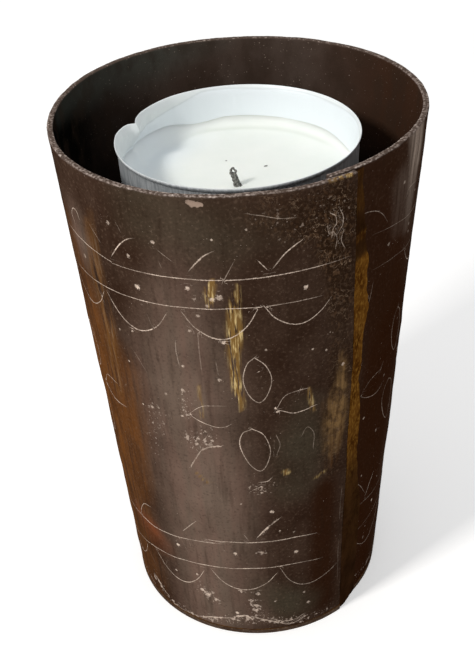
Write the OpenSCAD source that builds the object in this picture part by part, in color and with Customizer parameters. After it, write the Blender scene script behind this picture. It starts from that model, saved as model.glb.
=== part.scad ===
// Tea light holder: a tapered cup rolled from one sheet, with a lapped and brazed seam,
// a brazed base, a shelf wedged near the mouth and a tea light standing on it.
// The base rests on z = 0 and the cup's axis is the Z axis.

/* [Cup] */
// Height of the cup
cup_height = 93; // [80:1:120]
// Outer diameter across the rim
rim_diameter = 57; // [54:0.5:66]
// Outer diameter across the base
base_diameter = 46.5; // [38:0.5:52]
// Thickness of the rolled sheet
sheet_thickness = 0.9; // [0.6:0.1:1.4]
// Bevel filed along the rim's two edges
rim_bevel = 0.2; // [0.05:0.05:0.25]
// Thickness of the base disc
base_thickness = 1; // [0.6:0.1:2]

/* [Seam] */
// Direction of the outer end's free edge, in degrees from +X
seam_direction = -53; // [-180:1:180]
// Width of the lap, measured along the rim
lap_width = 5.6; // [4:0.1:10]
// Thickness of the brass in the joints
braze_gap = 0.25; // [0.15:0.01:0.3]
// Width of the brass beside the free edge
braze_run = 3; // [1.5:0.1:4]
// How far the brass beside the edge stays below the outer end's face
braze_drop = 0.1; // [0.05:0.05:0.3]
// Leg of the brass fillet inside the base joint
base_fillet = 1.4; // [0.6:0.1:2.5]

/* [Shelf] */
// Thickness of the shelf's sheet
shelf_thickness = 0.7; // [0.5:0.1:1.2]
// Height of the shelf's turned-down flange
flange_height = 6; // [4:0.5:12]
// Inside radius of the shelf's bend
bend_radius = 1; // [0.5:0.1:2]

/* [Tea light] */
// Diameter of the tea light over its rim
tealight_diameter = 38; // [36:0.5:40]
// Height of the tea light
tealight_height = 16; // [14:0.5:20]
// Distance from the cup's rim down to the tea light's rim
recess_depth = 4.2; // [2:0.1:12]
// Thickness of the aluminium
foil_thickness = 0.2; // [0.15:0.05:0.3]
// Radius of the curled rim
curl_radius = 0.4; // [0.35:0.05:0.6]
// How much the side leans in from rim to foot
side_taper = 0.3; // [0:0.1:1]
// Outside radius of the corner at the foot
corner_radius = 1; // [0.5:0.1:2]
// Width of the ring that the tea light stands on
foot_width = 2; // [1:0.1:3]
// How far the middle of the bottom is raised
panel_rise = 0.5; // [0.2:0.1:1]
// Depth of wax above the raised middle
wax_depth = 8; // [6:0.1:11]
// How far the wax climbs the side above its flat top
wax_climb = 0.9; // [0.2:0.1:1.5]
// Width of the climbing edge of the wax
climb_width = 1.6; // [0.5:0.1:3]

/* [Wick] */
// Diameter of the wick
wick_diameter = 1.3; // [0.8:0.1:2]
// Straight length of the wick above the wax
wick_stand = 2.4; // [1:0.1:6]
// Radius of the curl at the wick's tip
tip_radius = 0.9; // [0.7:0.1:2]
// Distance that the wick has drifted from the middle
wick_drift = 4.2; // [2:0.1:9]
// Direction of that drift, in degrees from +X
drift_direction = -96; // [-180:1:180]
// Diameter of the wick's tin disc
sustainer_diameter = 12.5; // [8:0.5:13]
// Thickness of the tin disc
sustainer_thickness = 0.25; // [0.2:0.05:0.4]
// Height of the disc's neck
neck_height = 3; // [2:0.1:5]

/* [Clearances] */
// Play between sheet parts that are wedged or brazed together
seat_clearance = 0.03; // [0.02:0.01:0.05]
// Play between the wax, the wick and the metal round them
cast_clearance = 0.03; // [0.02:0.01:0.1]

/* [Hidden] */
$fn = 240;
// How far a cutting shape runs past what it cuts
beyond = 1;
// Sideways step of the rolled sheet's inner half: twice this is a sheet and its braze
roll_shift = (sheet_thickness + braze_gap) / 2;
lap_angle = lap_width / (rim_diameter / 2) * 180 / PI;
// The brass inside the lap runs on a little into the brass beside it
bond_angle = (lap_width + braze_run / 3) / (rim_diameter / 2) * 180 / PI;
start_direction = seam_direction - lap_angle;
lean = atan((rim_diameter - base_diameter) / 2 / cup_height);
wall_foot = base_thickness + braze_gap;
shelf_top = cup_height - recess_depth - tealight_height;
tealight_radius = tealight_diameter / 2;
side_radius = tealight_radius - curl_radius;
foot_radius = side_radius - side_taper;
panel_radius = foot_radius - corner_radius - foot_width;
wax_foot = panel_rise + foil_thickness;
wax_top = wax_foot + wax_depth;
wick_radius = wick_diameter / 2;
neck_radius = wick_radius + cast_clearance + sustainer_thickness;

// Outer radius of the cup at a height
function cup_radius(z) = (base_diameter + (rim_diameter - base_diameter) * z / cup_height) / 2;

// Outer radius of the tea light's side at a height above its foot
function side_at(z) = foot_radius + side_taper * z / tealight_height;

// Points of an arc in a profile
function arc(centre, radius, from, to, steps = 8) =
    [for (i = [0:steps]) centre + radius * [cos(from + (to - from) * i / steps),
                                            sin(from + (to - from) * i / steps)]];

// Turns a piece to where the roll starts, and centres the spiral on the Z axis
module at_seam() {
    rotate([0, 0, start_direction])
        translate([0, roll_shift / 2, 0])
            children();
}

// Sweeps a profile round the rolled sheet's spiral. The outer half has the cup's full radius
// and runs on over the start by the lap. The inner half is shifted and smaller by the same
// step, so the two halves join smoothly at the back and its end tucks under the lap.
module rolled(lap = 0) {
    at_seam() {
        rotate([0, 0, 180])
            rotate_extrude(angle = 180 + lap)
                children();
        translate([-roll_shift, 0, 0])
            rotate_extrude(angle = 180)
                intersection() {
                    translate([-roll_shift, 0])
                        children();
                    translate([0, -cup_height])
                        square([rim_diameter, 3 * cup_height]);
                }
    }
}

// Solid cone inside the cup's outer face, less an inset
module cone_profile(bottom, top, inset) {
    polygon([[0, bottom], [cup_radius(bottom) - inset, bottom],
             [cup_radius(top) - inset, top], [0, top]]);
}

module wall_profile() {
    inner = sheet_thickness;
    shoulder = cup_height - rim_bevel;
    polygon([[cup_radius(wall_foot) - inner, wall_foot], [cup_radius(wall_foot), wall_foot],
             [cup_radius(shoulder), shoulder], [cup_radius(cup_height) - rim_bevel, cup_height],
             [cup_radius(cup_height) - inner + rim_bevel, cup_height],
             [cup_radius(shoulder) - inner, shoulder]]);
}

module cup_wall() {
    color([0.25, 0.17, 0.13])
        rolled(lap_angle)
            wall_profile();
}

// Everything inside the inner half's outer face, which the brass beside the lap lies on
module inner_half_core() {
    translate([-roll_shift, 0, 0])
        rotate_extrude()
            cone_profile(-beyond, cup_height + beyond, roll_shift - seat_clearance);
}

// Cross-section of the brass beside the free edge: it slopes away from the edge to a blunt end
module edge_braze_profile() {
    step = sheet_thickness + braze_gap;
    polygon([[-braze_drop, seat_clearance], [-step, braze_run],
             [-2 * step, braze_run], [-2 * step, seat_clearance]]);
}

module seam_braze() {
    shoulder = cup_height - rim_bevel;
    color([0.66, 0.48, 0.17])
        at_seam()
            difference() {
                union() {
                    rotate_extrude(angle = bond_angle)
                        cone_profile(wall_foot, shoulder, sheet_thickness + seat_clearance);
                    intersection() {
                        rotate([0, 0, lap_angle])
                            translate([cup_radius(0), 0, 0])
                                rotate([0, lean, 0])
                                    translate([0, 0, -cup_height / 2])
                                        linear_extrude(2 * cup_height)
                                            edge_braze_profile();
                        translate([0, 0, wall_foot])
                            cylinder(h = shoulder - wall_foot, r = rim_diameter);
                    }
                }
                inner_half_core();
            }
}

module base_disc() {
    color([0.24, 0.17, 0.13])
        rolled(lap_angle)
            cone_profile(0, base_thickness, 0);
}

module base_braze() {
    inner = cup_radius(wall_foot) - sheet_thickness - seat_clearance;
    color([0.62, 0.45, 0.18]) {
        rolled(lap_angle)
            translate([inner, base_thickness])
                square([sheet_thickness, braze_gap]);
        rolled()
            difference() {
                translate([inner - base_fillet, base_thickness])
                    square([base_fillet + seat_clearance / 2, base_fillet]);
                translate([inner - base_fillet, base_thickness + base_fillet])
                    circle(base_fillet);
            }
    }
}

// The shelf's bend is round inside and out, and its flange follows the wall's taper
module shelf_profile() {
    flange_foot = shelf_top - flange_height;
    reach = sheet_thickness + seat_clearance;
    outer_bend = bend_radius + shelf_thickness;
    bend_foot = shelf_top - outer_bend;
    bend_centre = cup_radius(bend_foot) - reach - outer_bend;
    translate([0, shelf_top - shelf_thickness])
        square([bend_centre, shelf_thickness]);
    intersection() {
        translate([bend_centre, bend_foot])
            difference() {
                circle(outer_bend);
                circle(bend_radius);
            }
        translate([bend_centre, bend_foot])
            square([outer_bend, outer_bend]);
    }
    polygon([[cup_radius(flange_foot) - reach - shelf_thickness, flange_foot],
             [cup_radius(flange_foot) - reach, flange_foot],
             [cup_radius(bend_foot) - reach, bend_foot],
             [cup_radius(bend_foot) - reach - shelf_thickness, bend_foot]]);
}

module shelf() {
    color([0.3, 0.22, 0.17])
        rolled()
            shelf_profile();
}

// Outline of the tea light's metal from the middle of its bottom to its rim.
// An inset of the foil's thickness gives the inside, and a little more gives the wax.
function foil_line(inset) = concat(
    [[0, panel_rise + inset], [panel_radius - inset, panel_rise + inset],
     [panel_radius + panel_rise - inset, inset], [foot_radius - corner_radius, inset]],
    arc([foot_radius - corner_radius, corner_radius], corner_radius - inset, -90, 0),
    [[side_at(tealight_height) - inset, tealight_height - curl_radius]]);

function reversed(points) = [for (i = [len(points) - 1:-1:0]) points[i]];

module tealight_cup() {
    color([0.8, 0.82, 0.85])
        translate([0, 0, shelf_top])
            rotate_extrude() {
                polygon(concat(foil_line(0), reversed(foil_line(foil_thickness))));
                translate([side_radius, tealight_height - curl_radius])
                    circle(curl_radius);
            }
}

// Puts a part of the wick at the place that it has drifted to
module at_wick() {
    rotate([0, 0, drift_direction])
        translate([wick_drift, 0, 0])
            children();
}

module wax() {
    gap = foil_thickness + cast_clearance;
    edge = side_at(wax_top) - gap;
    outline = foil_line(gap);
    color([0.95, 0.95, 0.92])
        translate([0, 0, shelf_top])
            difference() {
                intersection() {
                    rotate_extrude()
                        polygon(concat(outline, [[0, tealight_height - curl_radius]]));
                    rotate_extrude()
                        difference() {
                            square([tealight_radius, wax_top + wax_climb]);
                            translate([0, wax_top])
                                square([edge - climb_width, wax_climb + beyond]);
                            translate([edge - climb_width, wax_top + climb_width])
                                circle(climb_width);
                        }
                }
                at_wick()
                    sustainer_shape(cast_clearance);
                at_wick()
                    cylinder(h = tealight_height, r = wick_radius + cast_clearance);
            }
}

// The tin disc and its neck, grown by a clearance where the wax is cast round them
module sustainer_shape(grow = 0) {
    translate([0, 0, wax_foot - grow])
        cylinder(h = sustainer_thickness + 2 * grow + cast_clearance, r = sustainer_diameter / 2 + grow);
    translate([0, 0, wax_foot])
        cylinder(h = neck_height + grow, r = neck_radius + grow);
}

module wick_sustainer() {
    color([0.62, 0.62, 0.6])
        translate([0, 0, shelf_top])
            at_wick()
                difference() {
                    sustainer_shape();
                    translate([0, 0, -beyond])
                        cylinder(h = tealight_height, r = wick_radius + cast_clearance);
                }
}

module wick() {
    straight_top = wax_top + wick_stand;
    color([0.25, 0.23, 0.22])
        translate([0, 0, shelf_top])
            at_wick() {
                translate([0, 0, wax_foot])
                    cylinder(h = straight_top - wax_foot, r = wick_radius);
                translate([0, tip_radius, straight_top])
                    rotate([0, -90, 0])
                        rotate([0, 0, -90])
                            rotate_extrude(angle = 120)
                                translate([tip_radius, 0])
                                    circle(wick_radius);
            }
}

cup_wall();
seam_braze();
base_disc();
base_braze();
shelf();
tealight_cup();
wax();
wick_sustainer();
wick();
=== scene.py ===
import math
import random

import bmesh
import bpy
import numpy as np
from mathutils import Matrix, Vector
from mathutils.kdtree import KDTree

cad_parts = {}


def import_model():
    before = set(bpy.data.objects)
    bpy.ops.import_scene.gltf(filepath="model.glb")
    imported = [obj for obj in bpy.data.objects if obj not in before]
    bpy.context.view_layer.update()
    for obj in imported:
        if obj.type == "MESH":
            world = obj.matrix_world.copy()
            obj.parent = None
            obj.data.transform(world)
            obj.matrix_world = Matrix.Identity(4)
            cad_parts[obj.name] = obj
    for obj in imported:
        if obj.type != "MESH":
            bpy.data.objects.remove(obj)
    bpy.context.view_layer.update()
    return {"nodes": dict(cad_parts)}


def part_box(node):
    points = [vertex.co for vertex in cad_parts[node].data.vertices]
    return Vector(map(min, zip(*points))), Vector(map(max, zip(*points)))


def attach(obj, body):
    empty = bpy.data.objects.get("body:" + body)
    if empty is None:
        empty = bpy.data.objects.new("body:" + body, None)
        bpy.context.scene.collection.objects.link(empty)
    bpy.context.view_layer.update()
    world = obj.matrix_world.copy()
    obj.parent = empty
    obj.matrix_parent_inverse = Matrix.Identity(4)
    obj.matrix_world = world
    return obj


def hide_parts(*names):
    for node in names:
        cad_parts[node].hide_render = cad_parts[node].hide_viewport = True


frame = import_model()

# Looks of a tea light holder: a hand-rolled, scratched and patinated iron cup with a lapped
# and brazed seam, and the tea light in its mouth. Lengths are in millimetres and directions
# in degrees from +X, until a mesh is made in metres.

MM = 0.001


def low_of(node):
    """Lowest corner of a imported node, in millimetres."""
    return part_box(node)[0] / MM


def high_of(node):
    """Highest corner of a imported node, in millimetres."""
    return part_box(node)[1] / MM


# The cup
CUP_HEIGHT = high_of("cup_wall").z
WALL_FOOT = low_of("cup_wall").z
RIM_RADIUS = 28.5
BASE_RADIUS = 23.25
SHEET = 0.9
RIM_BEVEL = 0.2

# The rolled seam
BRAZE_GAP = 0.25
LAP_ANGLE = math.degrees(5.6 / RIM_RADIUS)
START_DIRECTION = -53 - LAP_ANGLE
SHEET_TURN = 360 + LAP_ANGLE
ROLL_SHIFT = (SHEET + BRAZE_GAP) / 2
SEAM_SIDE = -54

# How far the roll is from round at the rim: an oval and a three-sided part
OVAL = 0.02793
OVAL_DIRECTION = 0.34907
THIRD = 0.01316
THIRD_DIRECTION = 0.14514
# The rim's front is pushed in by this share
FLAT_FRONT = 0.02

# The shelf and the tea light
SHELF_TOP = high_of("shelf").z
SHELF_FOOT = low_of("shelf").z
SHELF_SHEET = 0.7
SHELF_BEND = 1.7
SEAT = 0.03
TEA_LIP = high_of("tealight_cup").z
TEA_RADIUS = (high_of("tealight_cup").x - low_of("tealight_cup").x) / 2
CURL = 0.4
FOIL = 0.2
SIDE_TAPER = 0.3
WAX_TOP = high_of("wax").z - 0.9
WAX_FOOT = low_of("wax").z
WICK_PLACE = (low_of("wick_sustainer") + high_of("wick_sustainer")).xy / 2

# Mean radius on which the ornament is laid out flat
FLAT_RADIUS = 26.0


def smooth_step(value, start, end):
    """0 before start, 1 after end and an even rise between them."""
    share = np.clip((value - start) / (end - start), 0, 1)
    return share * share * (3 - 2 * share)


def grain(points, size, seed, octaves=2):
    """Smooth noise from -1 to 1 with features about size wide, at an array of points."""
    total = np.zeros(len(points))
    for octave in range(octaves):
        scaled = points / size * 2 ** octave + seed * 17.31
        cell = np.floor(scaled).astype(np.int64)
        part = scaled - cell
        part = part * part * (3 - 2 * part)
        for corner in range(8):
            offset = np.array([corner & 1, corner >> 1 & 1, corner >> 2 & 1])
            key = ((cell + offset) * [73856093, 19349663, 83492791]).sum(axis=1) + seed * 7919
            key = (key ^ key >> 13) * 1274126177 & 0xFFFFFFFF
            value = ((key ^ key >> 16) & 0xFFFF) / 0x7FFF - 1
            total += value * np.abs(1 - offset - part).prod(axis=1) / 2 ** octave
    return total


def cup_radius(height):
    """Outer radius of the cup at a height."""
    return BASE_RADIUS + (RIM_RADIUS - BASE_RADIUS) * height / CUP_HEIGHT


def spiral(turn, height, inset):
    """Plan of the rolled sheet before its dents: turn runs from the roll's hidden start."""
    inner = turn < 180
    radius = cup_radius(height) - inset - np.where(inner, ROLL_SHIFT, 0)
    angle = np.radians(turn)
    x = radius * np.cos(angle) - np.where(inner, ROLL_SHIFT, 0)
    y = radius * np.sin(angle) + ROLL_SHIFT / 2
    start = math.radians(START_DIRECTION)
    return x * math.cos(start) - y * math.sin(start), x * math.sin(start) + y * math.cos(start)


def hand_shaped(x, y, height):
    """Points of the cup as it was bent by hand, less round towards the rim."""
    direction = np.arctan2(y, x)
    bend = OVAL * np.cos(2 * (direction - OVAL_DIRECTION))
    bend = bend + THIRD * np.cos(3 * (direction - THIRD_DIRECTION))
    degrees = np.degrees(direction)
    front = smooth_step(degrees, -165, -122) * (1 - smooth_step(degrees, -90, -74))
    bend = bend - FLAT_FRONT * front * smooth_step(height, 79, CUP_HEIGHT)
    factor = 1 + height / CUP_HEIGHT * bend
    return np.stack([x * factor, y * factor, height + 0 * x], axis=-1)


def edge_wander(height):
    """How far the outer end's free edge strays from its straight line, in degrees."""
    return np.interp(height, [0, 9, 17, 27, 34, 45, 60, 69, 75, CUP_HEIGHT],
                     [-0.5, -0.9, -1.5, -1.4, -1.1, -1.4, -1.0, -1.9, -2.2, -3.2])


def sheet_direction(turn, height):
    """Direction of a point of the sheet, counted on without a jump from the roll's start."""
    x, y = spiral(turn, height, 0)
    direction = np.degrees(np.arctan2(y, x))
    return direction + 360 * np.round((START_DIRECTION + turn - direction) / 360)


def unrolled(direction):
    """A direction as sheet_direction counts it: left of the seam it is a turn further on."""
    return direction + 360 if direction < SEAM_SIDE else direction


def flat(direction, height):
    """Place of a point on the unrolled sheet, in millimetres."""
    return math.radians(direction) * FLAT_RADIUS, height


def curve_through(points, step=0.06):
    """Even samples along the smooth curve through flat points."""
    nodes = [np.array(p, float) for p in points]
    if len(nodes) == 1:
        return np.array([nodes[0]])
    nodes = [2 * nodes[0] - nodes[1], *nodes, 2 * nodes[-1] - nodes[-2]]
    samples = []
    for a, b, c, d in zip(nodes, nodes[1:], nodes[2:], nodes[3:]):
        count = max(2, int(np.linalg.norm(c - b) / step))
        t = np.linspace(0, 1, count, endpoint=False)[:, None]
        samples.append(0.5 * (2 * b + (c - a) * t + (2 * a - 5 * b + 4 * c - d) * t ** 2
                              + (3 * b - a - 3 * c + d) * t ** 3))
    return np.concatenate([*samples, [nodes[-2]]])


# The scratched ornament


class Strokes:
    """Scratches on the sheet, as samples that each have a side, a half width and a paleness."""

    def __init__(self, seed):
        self.random = random.Random(seed)
        self.samples = []

    def cut(self, points, width=0.12, pale=1.0, taper=True):
        """A scratch along a curve through (direction, height) points."""
        line = curve_through([flat(unrolled(d), h) for d, h in points])
        count = len(line)
        ahead = np.gradient(line, axis=0) if count > 1 else np.zeros((1, 2))
        phase = self.random.uniform(0, 6.28)
        for i, ((u, v), (du, dv)) in enumerate(zip(line, ahead)):
            share = i / max(1, count - 1)
            swell = (0.35 + 0.65 * math.sin(math.pi * share) ** 0.4) if taper and count > 1 else 1
            patchy = 0.82 + 0.18 * math.sin(phase + i * 0.05)
            reach = math.hypot(du, dv) or 1
            side = (-dv / reach, du / reach) if count > 1 else (0, 0)
            self.samples.append((u, v, *side, width * swell, pale * swell * patchy))

    def pit(self, direction, height, width=0.35, pale=0.9):
        """A small punch mark or knock."""
        self.cut([(direction, height)], width * 1.15, pale)

    def tree(self):
        tree = KDTree(len(self.samples))
        for i, sample in enumerate(self.samples):
            tree.insert((sample[0], sample[1], 0), i)
        tree.balance()
        return tree


def scallop(strokes, left, right, bottom, **looks):
    """A hanging arc between two (direction, height) ends, down to a bottom height."""
    (start, top_left), (end, top_right) = left, right
    points = []
    for i in range(9):
        share = i / 8
        top = top_left + (top_right - top_left) * share
        sag = math.sin(math.pi * share) ** 0.75
        points.append((start + (end - start) * share, top - (top - bottom) * sag))
    strokes.cut(points, **looks)


def around(first, last, count):
    """Evenly spread directions."""
    return [first + (last - first) * i / max(1, count - 1) for i in range(count)]


def upper_band(strokes):
    """Two lines, the scallops under them and a punch mark over each; the sprouts above are cut by
    sprouts().
    """
    strokes.cut([(-164, 80), (-145, 79.9), (-129, 79.3)], 0.12)
    strokes.cut([(-133, 79.3), (-115, 79.6), (-95, 79.7), (-72, 79.7), (-55, 79.6)], 0.15)
    strokes.cut([(-45, 80.4), (-33, 79.5), (-16, 78.6), (30, 79.2), (75, 78.6), (120, 79.4),
                 (165, 79.2), (-164, 80)], 0.11, 0.5)
    strokes.cut([(-158, 73.1), (-142, 73.7), (-120, 74.3), (-95, 74.7), (-66, 74.4)], 0.13)
    strokes.cut([(-44, 74), (-30, 73.3), (-14, 72.5), (35, 73.8), (85, 73.2), (130, 74.1),
                 (180, 73.2), (-158, 73.1)], 0.1, 0.5)
    scallop(strokes, (-164, 73), (-140.6, 72.6), 67.8)
    scallop(strokes, (-138.8, 73), (-115.7, 72.9), 68.2, width=0.15)
    scallop(strokes, (-110.7, 73.7), (-87.3, 74.4), 69.1, width=0.17)
    scallop(strokes, (-85.5, 74.8), (-62, 73.7), 70.4, width=0.15)
    for direction, height, width in [(-149.1, 76.9, 0.35), (-124.7, 76.5, 0.45),
                                     (-108, 78, 0.35), (-71.9, 76.6, 0.4), (-98.7, 76.7, 0.5)]:
        strokes.pit(direction, height, width)
    strokes.cut([(-99, 68.5), (-97.6, 68.4)], 0.3)
    for start in around(-24, 170, 8):
        bottom = strokes.random.uniform(67.8, 69.4)
        scallop(strokes, (start, 73.6), (start + 25, 73.6), bottom, pale=0.7)
        strokes.pit(start + strokes.random.uniform(10, 15), strokes.random.uniform(76.2, 77.2))


def sprouts(strokes):
    """Pairs of short curved leaves that stand on the upper line."""
    strokes.cut([(-151.6, 82), (-152.9, 83.4), (-151, 84.8), (-148.6, 84.8), (-147.4, 83.6)])
    strokes.cut([(-132.8, 80.6), (-129.4, 82.9), (-126.2, 84.4), (-123.6, 85)], 0.14)
    strokes.cut([(-107.1, 81), (-104.5, 82.6), (-102.3, 83.7), (-99.7, 84.5)], 0.18)
    strokes.cut([(-93.7, 82.8), (-97.6, 79.1)], 0.11, 0.45)
    strokes.cut([(-82.5, 81), (-79.1, 83), (-76.1, 84.1), (-73, 84.9)], 0.16)
    strokes.cut([(-86.8, 82.6), (-84.3, 81)], 0.13)
    strokes.cut([(-141.3, 84.3), (-137, 82)], 0.08, 0.5)
    strokes.cut([(-115.8, 84), (-111.6, 82.4)], 0.08, 0.5)
    strokes.cut([(-52, 84.9), (-47.5, 84.7), (-43.5, 84), (-40.5, 82.8), (-38, 81.2)], 0.11, 0.45)
    strokes.cut([(-27, 82.6), (-24.5, 83.7), (-17.7, 83.3)], 0.1, 0.4)
    for foot in around(-2, 180, 8):
        strokes.cut([(foot, 80.6), (foot + 3.4, 82.8), (foot + 6.4, 84), (foot + 9, 84.7)],
                    0.13, 0.8)
        strokes.cut([(foot - 4.4, 83.2), (foot - 1.6, 81.2)], 0.11, 0.6)


def flower(strokes, middle, height, pale=1.0):
    """Four loose petals round a bare middle, given as offsets from it."""
    upper = [(0, 11.4), (3.4, 9.7), (5.3, 7), (3.9, 4), (0.9, 2.5), (-2.4, 4.2), (-4, 7.2),
             (-2.6, 10.2), (0.1, 11.5)]
    lower = [(-1.9, -2.8), (2, -4.3), (4.2, -7.6), (3, -10.6), (0.3, -12.1), (-3.6, -10.2),
             (-6.4, -6.3), (-5.2, -3.7), (-1.8, -2.9)]
    left = [(-23.3, -0.4), (-20, -1.5), (-14.5, -2.4), (-11, -2.3), (-8.6, -1.6)]
    left_top = [(-23, -0.2), (-19, 1.5), (-15, 2), (-10.3, 2.1)]
    right = [(6.6, 0.6), (9.5, 3), (13.4, 3.6), (18.2, 3.7)]
    right_foot = [(6.8, 0.5), (8.4, 0.2), (12.5, -0.8), (16.5, -0.8), (21.6, -0.3)]
    for offsets, width, strength in [(upper, 0.12, 0.85), (lower, 0.12, 0.85), (left, 0.13, 1),
                                     (left_top, 0.09, 0.7), (right, 0.11, 0.8),
                                     (right_foot, 0.15, 1)]:
        strokes.cut([(middle + d, height + h) for d, h in offsets], width, pale * strength,
                    offsets not in (upper, lower))
    strokes.cut([(middle + 0.8, height + 8.6), (middle + 1.7, height + 8.8)], 0.15, pale)
    for across, up, width in [(-23, -0.3, 0.3), (6.4, 0.9, 0.25), (7.2, 0.2, 0.3)]:
        strokes.pit(middle + across, height + up, width, pale)


def lower_band(strokes):
    """The same band turned round the foot, with lines that wander more."""
    strokes.cut([(-164, 21.2), (-149, 21.3), (-139, 21.6), (-128, 22.4), (-117, 23.5),
                 (-104.8, 24.1)], 0.14)
    strokes.cut([(-112.6, 24.5), (-98, 24.8), (-77, 24.8), (-66, 24.3)], 0.16)
    strokes.cut([(-47, 23.5), (-20, 22.4), (25, 23.4), (70, 22), (115, 23.3), (160, 22),
                 (-164, 21.2)], 0.11, 0.5)
    strokes.cut([(-164, 12.6), (-142, 15.4), (-130.5, 16.2), (-119.8, 17.2), (-98.7, 18),
                 (-77.2, 18.1), (-63.1, 17.3)], 0.14)
    strokes.cut([(-47, 16.6), (-10, 17.2), (40, 15.8), (90, 16.8), (140, 15.2), (-164, 12.6)],
                0.11, 0.5)
    scallop(strokes, (-168, 12.6), (-148, 13.9), 8.8)
    scallop(strokes, (-140.9, 15.4), (-114.6, 15.8), 10.3, width=0.14)
    scallop(strokes, (-111.2, 16.8), (-83.5, 16.5), 12.3, width=0.16)
    scallop(strokes, (-82.2, 17.7), (-55.6, 13.7), 11.6, pale=0.8)
    for direction, height in [(-125.8, 20.4), (-100.3, 21.8), (-89.4, 22.1), (-75.4, 21)]:
        strokes.pit(direction, height, 0.4)
    strokes.cut([(-148.6, 21.6), (-147, 23.6), (-143.5, 25.8), (-138.4, 26.6)], 0.13)
    strokes.cut([(-122, 24.9), (-119, 26.6), (-115.1, 28.7)], 0.13, 0.8)
    strokes.cut([(-91.1, 26), (-86.6, 28.4), (-81.8, 30.3)], 0.22)
    strokes.cut([(-96.1, 26.8), (-94.7, 25.6)], 0.1, 0.5)
    strokes.cut([(-51, 32.5), (-41.8, 28.5), (-36.4, 24.8)], 0.1, 0.3)
    strokes.cut([(-54.1, 33), (-54.2, 25)], 0.09, 0.25)
    strokes.cut([(-54.1, 20), (-54.1, 9)], 0.09, 0.2)
    for start in around(-44, 164, 8):
        bottom = strokes.random.uniform(10.6, 12)
        scallop(strokes, (start, 16.2), (start + 26.5, 16), bottom, pale=0.7)
        strokes.pit(start + strokes.random.uniform(10, 16), strokes.random.uniform(19.5, 20.8))
        strokes.cut([(start + 8, 23.6), (start + 11, 26), (start + 14.5, 27.8)], 0.13, 0.8)


# Knocks on the front, as (direction, height, half width)
KNOCKS = [
    (-112.4, 63.3, 0.22), (-113.7, 58.4, 0.3), (-120.2, 56.7, 0.25), (-127, 52.7, 0.35),
    (-131.2, 52.4, 0.2), (-115, 52.8, 0.25), (-100.7, 61.3, 0.3), (-105.5, 73.3, 0.3),
    (-108.8, 70.3, 0.25), (-135.8, 66.5, 0.2), (-130, 67.4, 0.2), (-85.3, 66.7, 0.2),
    (-134.3, 60.6, 0.2), (-100.8, 76.3, 0.35), (-102.5, 75.2, 0.25), (-117.1, 85.1, 0.3),
    (-99.7, 86.3, 0.2), (-89.8, 87.7, 0.2), (-132.3, 86.2, 0.3), (-126.1, 81.7, 0.3),
    (-129.5, 12.6, 0.25), (-118.2, 14.2, 0.25), (-116.8, 10.1, 0.4), (-113.6, 9.5, 0.45),
    (-110.8, 8.3, 0.3), (-99, 11.7, 0.25), (-91.8, 11.2, 0.45), (-93.4, 8.1, 0.35),
    (-92.6, 6.8, 0.3), (-101.5, 5.6, 0.35), (-87.8, 22, 0.2), (-81.9, 27.1, 0.2),
    (-76.2, 26.2, 0.2), (-84.9, 32, 0.35), (-88.4, 36.8, 0.25), (-96.4, 34.4, 0.2),
    (-69.2, 65, 0.2), (-63.8, 64, 0.2), (-62.2, 67.1, 0.15), (-61.1, 66.9, 0.15),
    (-56.7, 59.9, 0.3), (-84.6, 8.8, 0.25), (-71.5, 9.6, 0.25), (-69.5, 6.5, 0.35),
]
# Short and broken scratches on the front, as half width, paleness and points
SCRAPES = [
    (0.22, 0.8, [(-102.7, 47.5), (-106, 47.1), (-109.1, 46.2)]),
    (0.18, 0.7, [(-110, 45.6), (-111.7, 44.1), (-114.1, 42)]),
    (0.15, 0.8, [(-91.6, 37.6), (-88.5, 38.3)]),
    (0.14, 0.7, [(-88.4, 39.3), (-86, 39.4), (-85, 39.9)]),
    (0.14, 0.35, [(-113.9, 67.8), (-114.1, 65.9), (-113.6, 63.6)]),
    (0.12, 0.25, [(-106.2, 70), (-106.3, 66.9), (-106.2, 63.4)]),
    (0.12, 0.2, [(-101.3, 64.8), (-100.9, 62.5)]),
    (0.12, 0.4, [(-88.6, 90), (-85, 89.6), (-80.2, 88.9), (-76.3, 88.7)]),
    (0.14, 0.6, [(-62.3, 87.8), (-60.6, 87.2), (-60.2, 86), (-61.6, 85.2), (-62.2, 84.1)]),
    (0.13, 0.6, [(-58.6, 87.9), (-57.4, 86.5), (-57.9, 85.2), (-59, 84.6)]),
    (0.13, 0.5, [(-61.4, 84.8), (-60, 83.6), (-60.4, 82.2)]),
    (0.12, 0.5, [(-63.9, 85.8), (-63.2, 84.6), (-61.9, 84.6)]),
    (0.12, 0.5, [(-57.2, 84.4), (-58.3, 83), (-57, 81.6)]),
    (0.12, 0.35, [(-82.3, 48.9), (-81.3, 47.1), (-82.5, 45)]),
    (0.12, 0.3, [(-73.2, 48), (-70.9, 49.5), (-68.1, 47.8), (-68.4, 44.8)]),
    (0.2, 0.7, [(-121.7, 1.5), (-112.1, 3.1), (-104, 3.9)]),
    (0.25, 0.8, [(-101.7, 4.6), (-97.5, 5), (-95.4, 4.2)]),
    (0.16, 0.8, [(-94.8, 4.9), (-90.6, 4.1), (-84.9, 3.1), (-79, 1.9), (-75, 2.1), (-71, 2.9)]),
    (0.14, 0.7, [(-86, 4.1), (-81.5, 3), (-76, 2.9), (-72, 3.6)]),
    (0.12, 0.5, [(-139, 0.9), (-130, 1.4), (-122.5, 1.6)]),
    (0.25, 0.5, [(-146.8, 5.4), (-142.6, 3.6), (-139, 2.8)]),
]


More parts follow.
